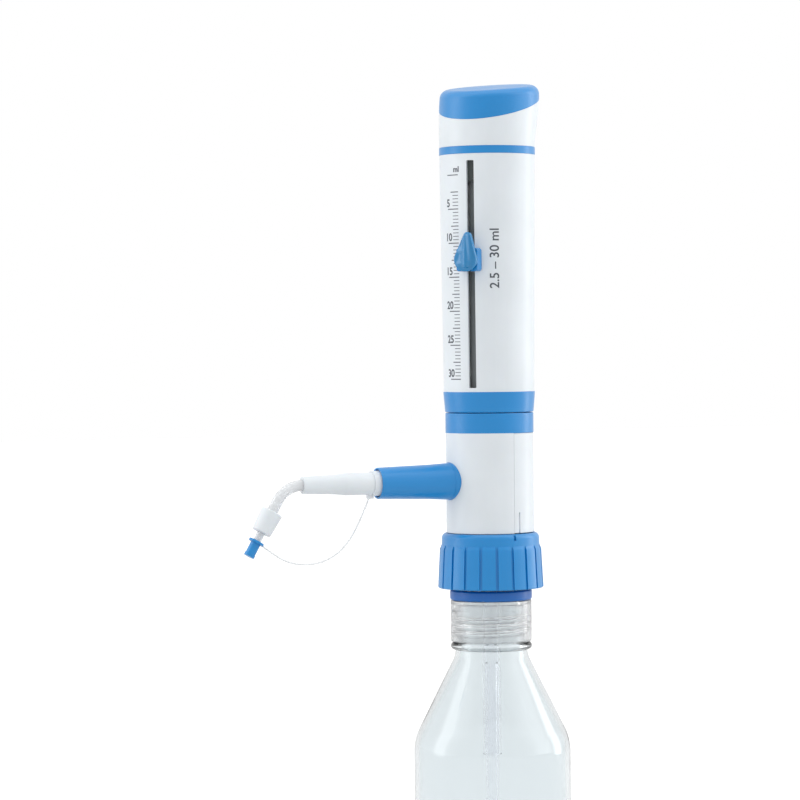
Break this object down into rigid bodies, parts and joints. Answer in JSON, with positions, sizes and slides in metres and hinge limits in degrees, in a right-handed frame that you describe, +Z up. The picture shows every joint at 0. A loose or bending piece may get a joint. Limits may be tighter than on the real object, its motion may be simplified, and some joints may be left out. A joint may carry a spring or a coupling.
{
  "type": "bottle-top dispenser",
  "caption": "Hand-pumped bottle-top burette: a lifting sleeve with a volume scale and locking pointer, a capped side nozzle and a screw collar, on a glass bottle.",
  "frame": {"origin": "centre of the bottle's base, on the surface it stands on", "axes": "+Z up along the pump's axis; the nozzle points along -X; the volume slot faces between -X and -Y"},
  "size_m": [0.1875, 0.086, 0.4596],
  "materials": {
    "white_plastic": "satin moulded plastic, off-white",
    "blue_plastic": "satin moulded plastic, mid blue",
    "dark_blue_plastic": "moulded plastic, deep blue",
    "knob_plastic": "glossy moulded plastic, light blue",
    "black_plastic": "matt black plastic",
    "clear_plastic": "translucent moulded plastic",
    "tube_plastic": "clear fluoropolymer tube",
    "rail_plastic": "grey plastic",
    "natural_plastic": "natural translucent-white plastic",
    "bottle_glass": "clear bottle glass",
    "barrel_glass": "clear precision-bore glass",
    "seal_rubber": "soft seal material",
    "steel": "stainless steel",
    "valve_ball": "glass ball"
  },
  "bodies": {
    "bottle": {"bottle": "bottle_glass", "bottle_adapter": "clear_plastic", "adapter_ring": "dark_blue_plastic"},
    "swivel": {"swivel_flange": "white_plastic", "bottle_gasket": "seal_rubber", "swivel_clip": "steel"},
    "collar": {"screw_collar": "blue_plastic"},
    "dispenser": {"lower_housing": "white_plastic", "rear_cover": "white_plastic", "valve_block": "natural_plastic", "block_screws": "steel", "inlet_valve_seat": "natural_plastic", "inlet_ball_stop": "natural_plastic", "outlet_valve_body": "natural_plastic", "outlet_spring": "steel", "barrel_seal": "seal_rubber", "glass_barrel": "barrel_glass", "guard_tube": "natural_plastic", "stop_rail": "rail_plastic", "lower_ring": "blue_plastic", "nozzle_boot": "blue_plastic", "feed_tube": "natural_plastic", "filling_tube_upper": "tube_plastic"},
    "inlet_ball": {"inlet_ball": "valve_ball"},
    "outlet_ball": {"outlet_ball": "valve_ball"},
    "dip_tube": {"filling_tube_lower": "tube_plastic"},
    "plunger": {"outer_sleeve": "white_plastic", "sleeve_ring": "blue_plastic", "guide_bush": "natural_plastic", "slot_rack": "black_plastic", "accent_ring": "blue_plastic", "head_body": "white_plastic", "head_grip": "blue_plastic", "calibration_nut": "natural_plastic", "head_screw": "steel", "piston_rod": "white_plastic", "piston_head": "natural_plastic", "piston_seals": "seal_rubber"},
    "pointer": {"pointer_carriage": "blue_plastic", "lock_shoe": "steel"},
    "knob": {"lock_knob": "knob_plastic", "lock_stem": "steel"},
    "arm": {"nozzle_arm": "white_plastic", "delivery_tube": "clear_plastic", "nozzle_nut": "white_plastic", "nozzle_tip": "clear_plastic", "tether_anchor": "white_plastic", "cap_tether": "clear_plastic"},
    "cap": {"tip_cap": "blue_plastic"}
  },
  "joints": [
    {"name": "dispenser_lift", "type": "slide", "parent": "bottle", "child": "swivel", "axis": [0, 0, 1], "range_m": [0, 0.012]},
    {"name": "collar_turn", "type": "hinge", "parent": "swivel", "child": "collar", "pos_m": [0, 0, 0.197], "axis": [0, 0, 1], "range_deg": [0, 1080]},
    {"name": "body_swivel", "type": "hinge", "parent": "swivel", "child": "dispenser", "pos_m": [0, 0, 0.2125], "axis": [0, 0, 1], "continuous": true},
    {"name": "piston_stroke", "type": "slide", "parent": "dispenser", "child": "plunger", "axis": [0, 0, 1], "range_m": [0, 0.1109]},
    {"name": "pointer_slide", "type": "slide", "parent": "plunger", "child": "pointer", "axis": [-0.0075, -0.0073, 0.9999], "range_m": [-0.0647, 0.037]},
    {"name": "knob_turn", "type": "hinge", "parent": "pointer", "child": "knob", "pos_m": [-0.01841, -0.01778, 0.3613], "axis": [-0.7193, -0.6946, -0.0104], "range_deg": [0, 90]},
    {"name": "arm_extend", "type": "slide", "parent": "dispenser", "child": "arm", "axis": [-1, 0, 0], "range_m": [0, 0.025]},
    {"name": "cap_pull", "type": "slide", "parent": "arm", "child": "cap", "axis": [-0.5, 0, -0.866], "range_m": [0, 0.012], "deforming": ["cap_tether"]},
    {"name": "inlet_ball_lift", "type": "slide", "parent": "dispenser", "child": "inlet_ball", "axis": [0, 0, 1], "range_m": [0, 0.0015]},
    {"name": "outlet_ball_lift", "type": "slide", "parent": "dispenser", "child": "outlet_ball", "axis": [-1, 0, 0], "range_m": [0, 0.001], "stiffness_N_per_m": 20, "springref_m": -0.001, "deforming": ["outlet_spring"]},
    {"name": "dip_tube_slide", "type": "slide", "parent": "dispenser", "child": "dip_tube", "axis": [0, 0, 1], "range_m": [0, 0.04]}
  ],
  "couplings": [
    {"joint": "collar_turn", "follows": "dispenser_lift", "rad_per_m": 1570.8}
  ]
}
